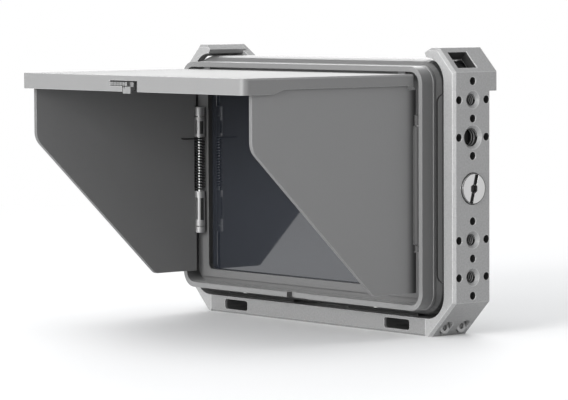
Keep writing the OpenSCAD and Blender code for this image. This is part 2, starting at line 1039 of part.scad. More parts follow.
module hood_frame() {
    ridge_y = floor_y - ridge_back - ridge_d;
    color("gray")
        difference() {
            union() {
                difference() {
                    union() {
                        slab(hood_w, hood_h, hood_r, frame_y, floor_y);
                        slab(hood_w + 2 * ridge_out, hood_h + 2 * ridge_out, hood_r + ridge_out,
                            ridge_y, ridge_y + ridge_d);
                    }
                    slab(frame_in_w, frame_in_h, frame_in_r, frame_y - over, floor_y + over);
                }
                both_sides()
                    top_lug(knuckle_x);
            }
            block(notch_x, notch_x + notch_open, frame_y - over, frame_y + notch_open_d,
                frame_low - over, frame_low + hood_wall + over);
            block(notch_x + notch_open - fit, notch_x + notch_w, frame_y - over,
                frame_y + notch_step_d, frame_low - over, frame_low + hood_wall + over);
            both_sides()
                rod_z(frame_low - over, frame_low + hood_wall + over, hood_screw_x,
                    floor_y - hood_screw_y, hood_screw_r + fit);
        }
}

module hood_frame_screws() {
    color("silver")
        both_sides() {
            rod_z(frame_low - ridge_out - hood_head_t, frame_low - ridge_out, hood_screw_x,
                floor_y - hood_screw_y, hood_head_r);
            rod_z(frame_low - ridge_out - fit, frame_low + hood_screw_in, hood_screw_x,
                floor_y - hood_screw_y, hood_screw_r);
        }
}

// Top flap and its latch

// Sheet outline seen from above, square behind and round in front
module top_plan(inset_x, inset_y, r, back) {
    w = top_w - 2 * inset_x;
    front = top_front + inset_y;
    translate([-w / 2, front + r])
        square([w, back - front - r]);
    translate([-w / 2 + r, front])
        square([w - 2 * r, r + over]);
    for (way = [-1, 1])
        translate([way * (w / 2 - r), front + r])
            circle(r);
}

// Knuckle of the top flap, with the leaf that joins it to the sheet
module top_ear(x0, x1) {
    rod_x(x0, x1, top_axis_y, top_axis_z, knuckle_r);
    block(x0, x1, top_axis_y - knuckle_r, top_axis_y - top_edge_gap, top_axis_z,
        top_z - top_t + fit);
}

module latch_cut() {
    y0 = top_front - over;
    y1 = top_front + top_t + over;
    low = top_z - front_lip;
    block(latch_x, latch_x + latch_w, y0, y1, top_z - latch_low, top_z - latch_top);
    block(hook_notch_x, latch_x + latch_w, y0, y1, low - over, top_z - latch_low + fit);
}

module top_flap() {
    back = top_axis_y - top_edge_gap;
    low = top_z - front_lip;
    ear_x = knuckle_x - lug_w / 2 - run_gap;
    far_x = knuckle_x + lug_w / 2 + run_gap;
    deep_y = top_front + deep_lip_l;
    color("lightgray")
        difference() {
            union() {
                difference() {
                    translate([0, 0, low])
                        linear_extrude(front_lip)
                            top_plan(0, 0, top_corner_r, back);
                    translate([0, 0, low - over])
                        linear_extrude(front_lip - top_t + over)
                            top_plan(side_lip_t, top_t, top_corner_r - side_lip_t, back + over);
                    sideways(-top_w, top_w)
                        polygon([
                            [back + over, top_z - side_lip],
                            [deep_y + lip_slope_l, top_z - side_lip],
                            [deep_y, low - fit], [deep_y, low - over], [back + over, low - over]
                        ]);
                    both_sides() {
                        block(top_w / 2 - rear_cut_x, top_w, back - rear_cut_y, back + over,
                            low - over, top_z + over);
                        block(knuckle_x - lug_w / 2 - run_gap, knuckle_x + lug_w / 2 + run_gap,
                            top_axis_y - lug_notch - fit, back + over, low - over, top_z + over);
                        across(top_front - over, back + over)
                            polygon([
                                [top_w / 2 - top_bevel - over, top_z + over],
                                [top_w / 2 + over, top_z - top_bevel - over],
                                [top_w / 2 + over, top_z + over]
                            ]);
                    }
                    latch_cut();
                }
                both_sides() {
                    top_ear(ear_x - ear_w, ear_x);
                    top_ear(far_x, far_x + ear_w);
                }
            }
            both_sides()
                rod_x(ear_x - ear_w - over, far_x + ear_w + over, top_axis_y, top_axis_z,
                    top_pin_r + fit);
        }
}

module top_hinge_pins() {
    half = lug_w / 2 + run_gap + ear_w;
    color("silver")
        both_sides()
            rod_x(knuckle_x - half, knuckle_x + half, top_axis_y, top_axis_z, top_pin_r);
}

module latch_housing() {
    inner = top_front + top_t;
    x0 = latch_x - housing_wall;
    x1 = latch_x + latch_w + housing_wall;
    channel_y = inner + slide_t + 2 * latch_gap;
    color("dimgray")
        difference() {
            block(x0, x1, inner, channel_y + housing_wall, top_z - housing_low, top_z - top_t);
            block(latch_x, latch_x + latch_w, inner - over, channel_y, top_z - housing_low - over,
                top_z - latch_top);
        }
}

module latch_slider() {
    face = top_front + fit;
    inner = top_front + top_t + latch_gap;
    color("gray")
        difference() {
            union() {
                block(grip_x, grip_x + grip_w, face, inner + slide_t,
                    top_z - grip_top - grip_h, top_z - grip_top);
                block(grip_x, grip_x + slide_w, inner, inner + slide_t, top_z - slide_low,
                    top_z - grip_top);
                block(hook_x, hook_x + hook_w, face, inner + fit, top_z - hook_low,
                    top_z - latch_low - latch_gap);
            }
            for (i = [0 : groove_count - 1])
                block(grip_x + (i + 1) * groove_pitch, grip_x + (i + 1) * groove_pitch + groove_w,
                    face - over, face + groove_d, top_z - grip_top - grip_h - over,
                    top_z - grip_top + over);
        }
}

// Side flaps and their hinges, drawn for the right and mirrored to the left

module flap_outline() {
    back = side_axis_y - flap_edge_gap;
    front = side_axis_y - flap_reach;
    low_y = side_axis_y - flap_low_reach;
    bend_z = flap_low + flap_slope;
    a = [back, flap_top];
    b = [front, flap_top];
    c = [front, bend_z];
    d = [low_y, flap_low];
    e = [back, flap_low];
    polygon(concat([a], bend(a, b, c, flap_tip_r), bend(b, c, d, flap_bend_r),
        bend(c, d, e, flap_low_r), [e]));
}

// Quarter round of the flap's sheet that hides the barrels and the spring from outside
module hinge_shield(axis_x) {
    reach = barrel_r + hinge_skin;
    intersection() {
        rod_z(barrel_low_z, barrel_high_z + barrel_high_l, axis_x, side_axis_y, reach);
        block(flap_face - flap_t, axis_x + reach + over, side_axis_y - reach - over, side_axis_y,
            barrel_low_z - over, cap_high_z);
    }
}

module side_flap(axis_x) {
    difference() {
        union() {
            sideways(flap_face - flap_t, flap_face)
                flap_outline();
            children();
        }
        block(flap_face - flap_t - over, flap_face + over,
            side_axis_y - flap_edge_gap - flap_notch_l, side_axis_y, flap_top - flap_notch_h,
            flap_top + over);
        rod_z(hinge_low - run_gap, barrel_low_z - fit, axis_x, side_axis_y, cap_r + run_gap);
        rod_z(barrel_low_z - 2 * fit, spring_z + fit, axis_x, side_axis_y, barrel_r + fit);
        rod_z(spring_z, barrel_high_z, axis_x, side_axis_y, barrel_r + run_gap);
        rod_z(barrel_high_z - fit, cap_high_z - run_gap + 2 * fit, axis_x, side_axis_y,
            barrel_r + fit);
        rod_z(cap_high_z - run_gap + fit, hinge_high + run_gap, axis_x, side_axis_y,
            cap_r + run_gap);
    }
}

module barrel(axis_x, z, h, end) {
    difference() {
        rod_z(z, z + h, axis_x, side_axis_y, barrel_r);
        rod_z(z - over, z + h + over, axis_x, side_axis_y, pin_r + fit);
        block(axis_x - window_wide / 2, axis_x + window_wide / 2, side_axis_y - barrel_r - over,
            side_axis_y - window_sink, z + end, z + h - end);
    }
}

module hinge_barrels(axis_x) {
    barrel(axis_x, barrel_low_z, barrel_low_l, window_end_low);
    barrel(axis_x, barrel_high_z, barrel_high_l, window_end_high);
}

module hinge_cap(axis_x, z, h) {
    difference() {
        union() {
            rod_z(z, z + h, axis_x, side_axis_y, cap_r);
            block(axis_x, frame_in_w / 2, side_axis_y - web_front, side_axis_y + web_back,
                z, z + h);
        }
        rod_z(z - over, z + h + over, axis_x, side_axis_y, pin_r + fit);
    }
}

module hinge_caps(axis_x) {
    hinge_cap(axis_x, hinge_low, cap_low_l);
    hinge_cap(axis_x, cap_high_z, cap_high_l);
}

module hinge_pin(axis_x) {
    rod_z(hinge_low, hinge_high, axis_x, side_axis_y, pin_r);
}

// Each row of the spring's path is a point with the two directions that its section
// spans. The path is a stub that stands on the lower barrel, the curls, a leg forward
// along the flap and a foot across it. The coil's axis is at the origin.
coil_rings = spring_turns * curl_rings;
function coil_angle(i) = 180 + 360 * (i - coil_rings) / curl_rings;
function coil_point(i) = [
    coil_r * cos(coil_angle(i)), coil_r * sin(coil_angle(i)),
    coil_low + (coil_high - coil_low) * i / coil_rings
];
function coil_run(i) = [-sin(coil_angle(i)), cos(coil_angle(i)), 0];
function coil_out(i) = [cos(coil_angle(i)), sin(coil_angle(i)), 0];
function spring_path(foot) = concat(
    [[[coil_point(0)[0], coil_point(0)[1], spring_z], -coil_run(0), coil_out(0)]],
    [[[coil_point(0)[0], coil_point(0)[1], coil_low - wire_d / 2], -coil_run(0), coil_out(0)]],
    [for (i = [0 : coil_rings]) [coil_point(i), [0, 0, 1], coil_out(i)]],
    [[[-coil_r, -leg_l, coil_high], [0, 0, 1], unit([-sign(foot), -1, 0])]],
    [[[-coil_r + foot, -leg_l, coil_high], [0, 0, 1], [0, -1, 0]]]
);
function ring_points(row) = [
    for (k = [0 : wire_sides - 1])
        let (angle = 360 * k / wire_sides)
        row[0] + wire_d / 2 * (cos(angle) * row[1] + sin(angle) * row[2])
];
function tube_faces(rings) = concat(
    [[for (k = [0 : wire_sides - 1]) k]],
    [for (i = [0 : rings - 2], k = [0 : wire_sides - 1])
        let (
            next = (k + 1) % wire_sides,
            a = i * wire_sides + k,
            b = i * wire_sides + next
        )
        each [[a, a + wire_sides, b], [b, a + wire_sides, b + wire_sides]]],
    [[for (k = [wire_sides - 1 : -1 : 0]) (rings - 1) * wire_sides + k]]
);
// Least distance between the surfaces of two parts of the wire, a half turn apart or more
function least_gap(path) = min([
    for (i = [0 : len(path) - 1])
        for (j = [i + curl_rings / 2 : len(path) - 1])
            norm(path[i][0] - path[j][0])
]) - wire_d;

module torsion_spring(foot) {
    path = spring_path(foot);
    echo("least gap in the spring", least_gap(path));
    polyhedron(points = [for (row = path) each ring_points(row)], faces = tube_faces(len(path)));
}

module left_flap() {
    color("dimgray")
        left_side()
            side_flap(left_axis_x);
}

module left_hinge_barrels() {
    color("silver")
        left_side()
            hinge_barrels(left_axis_x);
}

module left_hinge_caps() {
    color("silver")
        left_side()
            hinge_caps(left_axis_x);
}

module left_hinge_pin() {
    color("silver")
        left_side()
            hinge_pin(left_axis_x);
}

module left_spring() {
    foot = coil_r + flap_face - flap_t - left_axis_x;
    color("dimgray")
        left_side()
            translate([left_axis_x, side_axis_y, 0])
                torsion_spring(foot);
}

module right_flap() {
    color("gray")
        side_flap(right_axis_x)
            hinge_shield(right_axis_x);
}

module right_hinge_barrels() {
    color("silver")
        hinge_barrels(right_axis_x);
}

module right_hinge_caps() {
    color("silver")
        hinge_caps(right_axis_x);
}

module right_hinge_pin() {
    color("silver")
        hinge_pin(right_axis_x);
}

module right_spring() {
    color("dimgray")
        translate([right_axis_x, side_axis_y, 0])
            torsion_spring(-leg_foot_right);
}

bottom_bar();
left_side_plate();
right_side_plate();
cage_corner_screws();
left_clamp_screw();
right_clamp_screw();
cage_pads();
front_shell();
rear_shell();
screen_glass();
lcd_panel();
backlight();
heat_spreader();
main_board();
board_screws();
shell_screws();
left_side_cover();
right_side_cover();
battery_plate();
battery_contacts();
battery_plate_screws();
battery_release();
port_sockets();
power_button();
hood_frame();
hood_frame_screws();
top_flap();
top_hinge_pins();
latch_housing();
latch_slider();
left_flap();
left_hinge_barrels();
left_hinge_caps();
left_hinge_pin();
left_spring();
right_flap();
right_hinge_barrels();
right_hinge_caps();
right_hinge_pin();
right_spring();
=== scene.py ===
"""Looks of the caged field monitor with its sun hood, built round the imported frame."""
import json
import math

import bpy
from mathutils import Matrix, Vector


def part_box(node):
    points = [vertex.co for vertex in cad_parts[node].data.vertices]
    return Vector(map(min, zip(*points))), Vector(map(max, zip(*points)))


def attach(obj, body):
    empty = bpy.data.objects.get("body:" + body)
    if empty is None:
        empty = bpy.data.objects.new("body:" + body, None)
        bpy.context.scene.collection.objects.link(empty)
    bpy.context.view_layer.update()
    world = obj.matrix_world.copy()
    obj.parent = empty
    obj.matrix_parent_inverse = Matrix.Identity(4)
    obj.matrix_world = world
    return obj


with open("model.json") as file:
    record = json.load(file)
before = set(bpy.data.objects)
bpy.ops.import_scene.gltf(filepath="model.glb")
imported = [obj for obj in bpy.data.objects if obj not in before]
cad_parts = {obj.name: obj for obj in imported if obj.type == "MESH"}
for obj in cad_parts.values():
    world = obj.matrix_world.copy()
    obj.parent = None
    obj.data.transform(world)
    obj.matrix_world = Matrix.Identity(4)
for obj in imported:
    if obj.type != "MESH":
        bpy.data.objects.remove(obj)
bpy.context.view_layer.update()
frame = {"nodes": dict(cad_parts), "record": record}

RECORD = frame["record"]
NODES = frame["nodes"]
COLLECTION = bpy.context.scene.collection

# Camera, fitted to the photograph's frame
IMAGE_W = 568
SENSOR = 36.0
FOCAL_PX = 3107.77
CAMERA_AT = Vector((1.057842, -0.912381, 0.146592))
CAMERA_YAW = math.radians(-50.106)
CAMERA_PITCH = math.radians(3.749)
CAMERA_ROLL = math.radians(-0.262)


def add_camera():
    """Camera at the photograph's viewing angle."""
    data = bpy.data.cameras.new("camera")
    data.sensor_fit = "HORIZONTAL"
    data.sensor_width = SENSOR
    data.lens = FOCAL_PX * SENSOR / IMAGE_W
    camera = bpy.data.objects.new("camera", data)
    COLLECTION.objects.link(camera)
    forward = Vector((
        math.sin(CAMERA_YAW) * math.cos(CAMERA_PITCH),
        math.cos(CAMERA_YAW) * math.cos(CAMERA_PITCH),
        -math.sin(CAMERA_PITCH),
    ))
    level = Vector((math.cos(CAMERA_YAW), -math.sin(CAMERA_YAW), 0))
    upright = level.cross(forward)
    right = math.cos(CAMERA_ROLL) * level + math.sin(CAMERA_ROLL) * upright
    up = math.cos(CAMERA_ROLL) * upright - math.sin(CAMERA_ROLL) * level
    camera.matrix_world = Matrix((
        (right.x, up.x, -forward.x, CAMERA_AT.x),
        (right.y, up.y, -forward.y, CAMERA_AT.y),
        (right.z, up.z, -forward.z, CAMERA_AT.z),
        (0, 0, 0, 1),
    ))
    bpy.context.scene.camera = camera


# Nodes of a material


def new_material(name):
    """A material with its node tree and its shader."""
    material = bpy.data.materials.new(name)
    material.use_nodes = True
    tree = material.node_tree
    return material, tree, tree.nodes["Principled BSDF"]


def feed(tree, socket, value):
    """Links another node's output to a socket, or sets the socket to a plain value."""
    if isinstance(value, bpy.types.NodeSocket):
        tree.links.new(value, socket)
    else:
        socket.default_value = value


def add_node(tree, kind, settings, inputs):
    """A node with its settings made and its inputs fed."""
    node = tree.nodes.new(kind)
    for name, value in settings.items():
        setattr(node, name, value)
    for name, value in inputs.items():
        feed(tree, node.inputs[name], value)
    return node


def coordinates(tree, kind):
    """Place or direction of a surface point in the object's own frame."""
    return tree.nodes.new("ShaderNodeTexCoord").outputs[kind]


def coordinate(tree, kind, axis):
    """One part of such a place or direction."""
    split = add_node(tree, "ShaderNodeSeparateXYZ", {}, {"Vector": coordinates(tree, kind)})
    return split.outputs[axis]


def calculate(tree, operation, *values):
    """Result of one sum on one or two values."""
    node = add_node(tree, "ShaderNodeMath", {"operation": operation}, dict(enumerate(values)))
    return node.outputs["Value"]


def map_range(tree, value, start, end, low, high, smooth=False):
    """Turns a value that runs from start to end into one that runs from low to high."""
    settings = {"interpolation_type": "SMOOTHSTEP" if smooth else "LINEAR"}
    inputs = {"Value": value, "From Min": start, "From Max": end, "To Min": low, "To Max": high}
    return add_node(tree, "ShaderNodeMapRange", settings, inputs).outputs["Result"]


def noise(tree, place, scale, detail):
    """Cloudy values from 0 to 1."""
    inputs = {"Vector": place, "Scale": scale, "Detail": detail}
    return add_node(tree, "ShaderNodeTexNoise", {}, inputs).outputs["Fac"]


def mix_colors(tree, factor, first, second, blend="MIX"):
    """Colour between two colours, or their product where blend is MULTIPLY."""
    settings = {"data_type": "RGBA", "blend_type": blend}
    inputs = {"Factor": factor, "A": first, "B": second}
    return add_node(tree, "ShaderNodeMix", settings, inputs).outputs["Result"]


BEVEL_SAMPLES = 6
# Agreement of the rounded and the flat normal far from an edge and on it
EDGE_FAR = 0.998
EDGE_ON = 0.90


def round_edges(tree, radius):
    """Normal that rounds a sharp edge, so that it catches the light as a broken edge does."""
    bevel = add_node(tree, "ShaderNodeBevel", {"samples": BEVEL_SAMPLES}, {"Radius": radius})
    return bevel.outputs["Normal"]


def edge_nearness(tree, rounded):
    """How near a point is to a sharp edge, from 0 to 1."""
    flat = tree.nodes.new("ShaderNodeNewGeometry").outputs["Normal"]
    turn = add_node(tree, "ShaderNodeVectorMath", {"operation": "DOT_PRODUCT"},
                    {0: rounded, 1: flat})
    return map_range(tree, turn.outputs["Value"], EDGE_FAR, EDGE_ON, 0, 1)


def add_bump(tree, shader, height, normal, strength, distance):
    """Fine relief in the shader's normal."""
    inputs = {"Strength": strength, "Distance": distance, "Height": height, "Normal": normal}
    bump = add_node(tree, "ShaderNodeBump", {}, inputs)
    feed(tree, shader.inputs["Normal"], bump.outputs["Normal"])


# Two kinds of surface

FINE_DETAIL = 3.0
BROAD_SCALE = 22.0
BROAD_DETAIL = 4.0
ROUGH_SPREAD = 0.05
GRAIN_DEPTH = 0.0002
# Colour of the painted highlight along edges, which also stands for rubbed wear
EDGE_HIGHLIGHT_AND_WEAR = (0.8, 0.8, 0.8, 1)


def blasted(name, color, rough, metallic, grain, scale, mottle, edge=0.00025, lift=0.25):
    """Blasted, painted or moulded surface: fine grain in its relief, a slight change of tone and
    roughness, and a painted highlight along its edges that also stands for rubbed wear."""
    material, tree, shader = new_material(name)
    shader.inputs["Metallic"].default_value = metallic
    place = coordinates(tree, "Object")
    fine = noise(tree, place, scale, FINE_DETAIL)
    broad = noise(tree, place, BROAD_SCALE, BROAD_DETAIL)
    gloss = map_range(tree, broad, 0, 1, rough - ROUGH_SPREAD, rough + ROUGH_SPREAD)
    deep = (*[part * (1 - mottle) for part in color], 1)
    pale = (*[min(1, part * (1 + mottle)) for part in color], 1)
    tone = mix_colors(tree, fine, deep, pale)
    rounded = round_edges(tree, edge)
    # Painted highlight on the edges, partly standing for wear; lift sets its strength
    edge_glint_and_wear = calculate(tree, "MULTIPLY", edge_nearness(tree, rounded), lift)
    feed(tree, shader.inputs["Base Color"], mix_colors(tree, edge_glint_and_wear, tone, EDGE_HIGHLIGHT_AND_WEAR))
    feed(tree, shader.inputs["Roughness"], gloss)
    add_bump(tree, shader, fine, rounded, grain, GRAIN_DEPTH)
    return material


BRUSH_STRETCH = (400.0, 400.0, 20.0)
BRUSH_SCALE = 6.0
BRUSH_DETAIL = 5.0
BRUSH_GLOSSIER = 0.08
BRUSH_ROUGHER = 0.1
BRUSH_GRAIN = 0.12
BRUSH_DEPTH = 0.0001
BRUSH_EDGE = 0.00015


def brushed(name, color, rough):
    """Turned or drawn metal, with fine lines along one direction."""
    material, tree, shader = new_material(name)
    shader.inputs["Metallic"].default_value = 1.0
    shader.inputs["Base Color"].default_value = (*color, 1)
    stretch = add_node(tree, "ShaderNodeMapping", {},
                       {"Vector": coordinates(tree, "Object"), "Scale": BRUSH_STRETCH})
    lines = noise(tree, stretch.outputs["Vector"], BRUSH_SCALE, BRUSH_DETAIL)
    gloss = map_range(tree, lines, 0, 1, rough - BRUSH_GLOSSIER, rough + BRUSH_ROUGHER)
    feed(tree, shader.inputs["Roughness"], gloss)
    add_bump(tree, shader, lines, round_edges(tree, BRUSH_EDGE), BRUSH_GRAIN, BRUSH_DEPTH)
    return material


def gray(value):
    """Linear colour of a neutral grey given as a screen value."""
    linear = ((value + 0.055) / 1.055) ** 2.4
    return (linear, linear, linear)


# Painted light and shade over a material

FACING_START = 0.5


def tint(material, factor):
    """Multiplies a material's colour by a value that its nodes give."""
    tree = material.node_tree
    base = tree.nodes["Principled BSDF"].inputs["Base Color"]
    color = base.links[0].from_socket
    feed(tree, base, mix_colors(tree, 1.0, color, factor, "MULTIPLY"))


def paint_side_shade(material, least):
    """Painted shade on the faces that look to the left and right."""
    tree = material.node_tree
    size = calculate(tree, "ABSOLUTE", coordinate(tree, "Normal", "X"))
    tint(material, map_range(tree, size, 0, 1, 1, least))


def paint_facing_light_and_shade(material, axis, way, factor):
    """Painted light, and painted shade where the factor is under 1, on the faces that look along
    one axis, one way.
    """
    tree = material.node_tree
    facing = coordinate(tree, "Normal", axis)
    tint(material, map_range(tree, facing, FACING_START * way, way, 1, factor))


def paint_rear_shadow(material, start, end, least):
    """Painted shadow towards the back of a piece, between two depths in metres."""
    tree = material.node_tree
    depth = coordinate(tree, "Object", "Y")
    tint(material, map_range(tree, depth, start, end, 1, least, smooth=True))


# Materials


def cage_blasted(name, front):
    """Blasted cage metal, whose faces that look to the front get painted light or painted shade by
    the factor front.
    """
    material = blasted(name, gray(0.57), rough=0.48, metallic=0.30, grain=0.6, scale=1300.0,
                       mottle=0.22, edge=0.0005, lift=0.45)
    paint_facing_light_and_shade(material, "Y", -1, front)
    return material


def body_satin():
    """Painted casing, with painted shade on its sides and painted light on the faces that look to
    the front, such as its ring.
    """
    material = blasted("body_satin", gray(0.32), rough=0.36, metallic=0.10, grain=0.18,
                       scale=1600.0, mottle=0.04, lift=0.05)
    paint_side_shade(material, least=0.3)
    paint_facing_light_and_shade(material, "Y", -1, factor=1.7)
    return material


def cover_satin():
    """Inserts in the casing's sides."""
    return blasted("side_cover_satin", gray(0.27), rough=0.30, metallic=0.30, grain=0.25,
                   scale=1400.0, mottle=0.08)


def frame_satin():
    """Hood frame, with painted shade on its side walls and on the faces that look to the front,
    and painted light on its floor and other upward faces.
    """
    material = blasted("hood_frame_satin", gray(0.56), rough=0.40, metallic=0.05, grain=0.18,
                       scale=1500.0, mottle=0.04, edge=0.0003, lift=0.08)
    paint_side_shade(material, least=0.3)
    paint_facing_light_and_shade(material, "Z", 1, factor=1.5)
    paint_facing_light_and_shade(material, "Y", -1, factor=0.8)
    return material


def top_satin():
    """Top flap's painted sheet, with painted shade on its sides and painted light on the faces
    that look to the front.
    """
    material = blasted("top_flap_satin", gray(0.50), rough=0.5, metallic=0.30, grain=0.08,
                       scale=1800.0, mottle=0.03, edge=0.0004, lift=0.4)
    paint_side_shade(material, least=0.75)
    paint_facing_light_and_shade(material, "Y", -1, factor=1.18)
    return material


def flap_matt(name, value):
    """Side flaps' matt sheet."""
    return blasted(name, gray(value), rough=0.52, metallic=0.0, grain=0.2, scale=1500.0,
                   mottle=0.04)


# Depths between which a painted shadow darkens the right flap towards its hinge, in metres
SHADE_START = -0.0245
SHADE_END = -0.0190
SHADE_LEAST = 0.2


def right_flap_matt_painted_shadow():
    """Right flap's sheet, with a painted shadow along its hinge."""
    material = flap_matt("right_flap_matt_painted_shadow", 0.44)
    paint_rear_shadow(material, SHADE_START, SHADE_END, SHADE_LEAST)
    return material


def hinge_satin():
    """Steel barrels and caps of the left hinge."""
    return blasted("hinge_satin_steel", gray(0.60), rough=0.46, metallic=0.75, grain=0.15,
                   scale=1500.0, mottle=0.05)


def bright_steel():
    """Turned steel of the clamp screws, pins and sockets."""
    return brushed("bright_steel", gray(0.78), rough=0.34)


def cut_thread():
    """Crests of the cut threads."""
    return brushed("cut_thread", gray(0.50), rough=0.38)


def dark_steel():
    """Darkened steel of the springs and the casing's screws."""
    return brushed("dark_steel", gray(0.25), rough=0.35)


def screw_steel():
    """Plain steel of the cage's corner screws."""
    return brushed("screw_steel", gray(0.62), rough=0.34)


def contact_gold():
    """Plated contacts of the battery."""
    return brushed("contact_gold", (0.75, 0.55, 0.2), rough=0.3)


def shade(name, value, rough):
    """Unlit inside of a hole or a joint."""
    return blasted(name, gray(value), rough, metallic=0.0, grain=0.2, scale=1500.0, mottle=0.05,
                   lift=0.0)


def pad_rubber():
    """Pads between the cage and the casing."""
    return blasted("pad_rubber", gray(0.16), rough=0.75, metallic=0.0, grain=0.3, scale=900.0,
                   mottle=0.08)


def dark_plastic():
    """Moulded housings; also used as painted shade in the bar's slots and on the right hinge's
    caps.
    """
    return blasted("dark_plastic", gray(0.22), rough=0.5, metallic=0.0, grain=0.3, scale=1200.0,
                   mottle=0.06)


def panel_black():
    """Panel behind the glass."""
    return blasted("panel_black", gray(0.16), rough=0.35, metallic=0.0, grain=0.0, scale=500.0,
                   mottle=0.02)


def light_white():
    """Backlight's diffusing sheets."""
    return blasted("light_white", gray(0.85), rough=0.6, metallic=0.0, grain=0.0, scale=500.0,
                   mottle=0.02)


def board_green():
    """Circuit board's lacquer."""
    return blasted("board_green", (0.02, 0.1, 0.04), rough=0.45, metallic=0.0, grain=0.2,
                   scale=700.0, mottle=0.1)


GLASS_COLOR = (0.020, 0.023, 0.030, 1)
GLASS_IOR = 2.0
SMEAR_SCALE = 30.0
SMEAR_DETAIL = 4.0
CLEAN_ROUGH = 0.02
SMEAR_ROUGH = 0.07


def cover_glass():
    """Dark screen behind cover glass, with faint smears in its gloss."""
    material, tree, shader = new_material("cover_glass")
    shader.inputs["Base Color"].default_value = GLASS_COLOR
    shader.inputs["IOR"].default_value = GLASS_IOR
    smear = noise(tree, coordinates(tree, "Object"), SMEAR_SCALE, SMEAR_DETAIL)
    gloss = map_range(tree, smear, 0, 1, CLEAN_ROUGH, SMEAR_ROUGH)
    feed(tree, shader.inputs["Roughness"], gloss)
    return material


# The side plates: a copy of the cage metal with painted light on their front faces
PLATE = cage_blasted("plate_blasted", front=1.3)
COVER = cover_satin()
HINGE = hinge_satin()
BRIGHT = bright_steel()
RIDGES = cut_thread()
HOLE = shade("hole_shade", 0.15, rough=0.7)
# Dark joints; also painted shade in the thread roots, the gaps round the clamp screws and the
# barrels' windows
SEAM_AND_PAINTED_SHADE = shade("seam_shade", 0.09, rough=0.8)
# Dark plastic, also used as painted shade
DARK_PLASTIC_AND_PAINTED_SHADE = dark_plastic()

# Material of each slot in the record
MATERIAL_OF = {
    # The rest of the cage: painted shade on its front faces
    "cage_metal": cage_blasted("cage_blasted", front=0.9),
    "body_metal": body_satin(),
    "hood_metal": frame_satin(),
    "top_sheet": top_satin(),
    "flap_sheet": flap_matt("side_flap_matt", 0.41),
    "bright_steel": BRIGHT,
    "dark_steel": dark_steel(),
    "pad_rubber": pad_rubber(),
    "cover_glass": cover_glass(),
    "panel_black": panel_black(),
    "light_white": light_white(),
    "board_green": board_green(),
    "spreader": BRIGHT,
    "dark_plastic": DARK_PLASTIC_AND_PAINTED_SHADE,
    "contact_gold": contact_gold(),
}

# Nodes whose surface differs from the rest of their slot
OWN_MATERIAL = {
    "cage_corner_screws": screw_steel(),
    "left_side_cover": COVER,
    "right_side_cover": COVER,
    "right_flap": right_flap_matt_painted_shadow(),
    "left_hinge_barrels": HINGE,
    "left_hinge_caps": HINGE,
    # The right hinge's caps in dark plastic as painted shade where they sit in the frame's shadow
    "right_hinge_caps": DARK_PLASTIC_AND_PAINTED_SHADE,
    "left_side_plate": PLATE,
    "right_side_plate": PLATE,
}


def dress_nodes():
    """Gives every CAD node its material."""
    for row in RECORD["subparts"]:
        name = row["node"]
        materials = NODES[name].data.materials
        materials.clear()
        materials.append(OWN_MATERIAL.get(name, MATERIAL_OF[row["material_slot"]]))


# Meshes of the details that the CAD nodes leave out, in millimetres

MM = 0.001
WAYS = (-1, 1)
AXIS_X = Vector((1, 0, 0))
AXIS_Y = Vector((0, 1, 0))
AXIS_Z = Vector((0, 0, 1))


class Shape:
    """Points and the faces between them."""

    def __init__(self):
        self.points = []
        self.faces = []

    def sweep(self, sections, closed=True, looped=False):
        """Joins sections of equally many points with faces. A closed section's last point is
        joined to its first, and in a loop the last section to the first. Gives the number of
        the first new point."""
        first = len(self.points)
        size = len(sections[0])
        for section in sections:
            self.points.extend(section)
        count = len(sections)
        for i in range(count if looped else count - 1):
            here = first + size * i
            there = first + size * ((i + 1) % count)
            for k in range(size if closed else size - 1):
                after = (k + 1) % size
                self.faces.append((here + k, here + after, there + after, there + k))
        return first

    def fill(self, first, count, backwards=False):
        """One face over a run of points."""
        run = range(first, first + count)
        self.faces.append(tuple(reversed(run) if backwards else run))


def add_piece(name, shape, material, body, smooth=True):
    """Makes an object of a shape, which rides on a body."""
    mesh = bpy.data.meshes.new(name)
    mesh.from_pydata([Vector(point) * MM for point in shape.points], [], shape.faces)
    mesh.materials.append(material)
    for polygon in mesh.polygons:
        polygon.use_smooth = smooth
    piece = bpy.data.objects.new(name, mesh)
    COLLECTION.objects.link(piece)
    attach(piece, body)


def circle(at, side, up, r, steps):
    """Points of a circle."""
    ring = []
    for i in range(steps):
        angle = 2 * math.pi * i / steps
        ring.append(at + side * (r * math.cos(angle)) + up * (r * math.sin(angle)))
    return ring


# Start of each corner's arc in degrees, and the way to the corner on both axes
CORNERS = ((0, 1, 1), (90, -1, 1), (180, -1, -1), (270, 1, -1))


def corner_angle(start, i, steps):
    """Angle of one step of a corner's arc."""
    return math.radians(start + 90 * i / steps)


def round_rectangle(at, side, up, half_side, half_up, r, steps):
    """Points of a rectangle with round corners."""
    ring = []
    for start, way_side, way_up in CORNERS:
        for i in range(steps + 1):
            angle = corner_angle(start, i, steps)
            across = way_side * (half_side - r) + r * math.cos(angle)
            along = way_up * (half_up - r) + r * math.sin(angle)
            ring.append(at + side * across + up * along)
    return ring


# Places on the CAD nodes


def box_mm(node):
    """Lowest and highest corner of a CAD node."""
    low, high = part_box(node)
    return low / MM, high / MM


PLATE_HIGH = box_mm("right_side_plate")[1]
PLATE_OUT = PLATE_HIGH.x
PLATE_T = 6.5
SHELL_LOW, SHELL_HIGH = box_mm("front_shell")
MID_Z = (SHELL_LOW.z + SHELL_HIGH.z) / 2

# How far a lining stands off the wall that it covers
SKIN = 0.03


def on_plate(way, depth, y, rise):
    """A place inside a plate's outer face, by its depth and its height over the middle."""
    return Vector((way * (PLATE_OUT - depth), y, MID_Z + rise))


# Tapped holes of the plates: height over the middle, radius and pitch

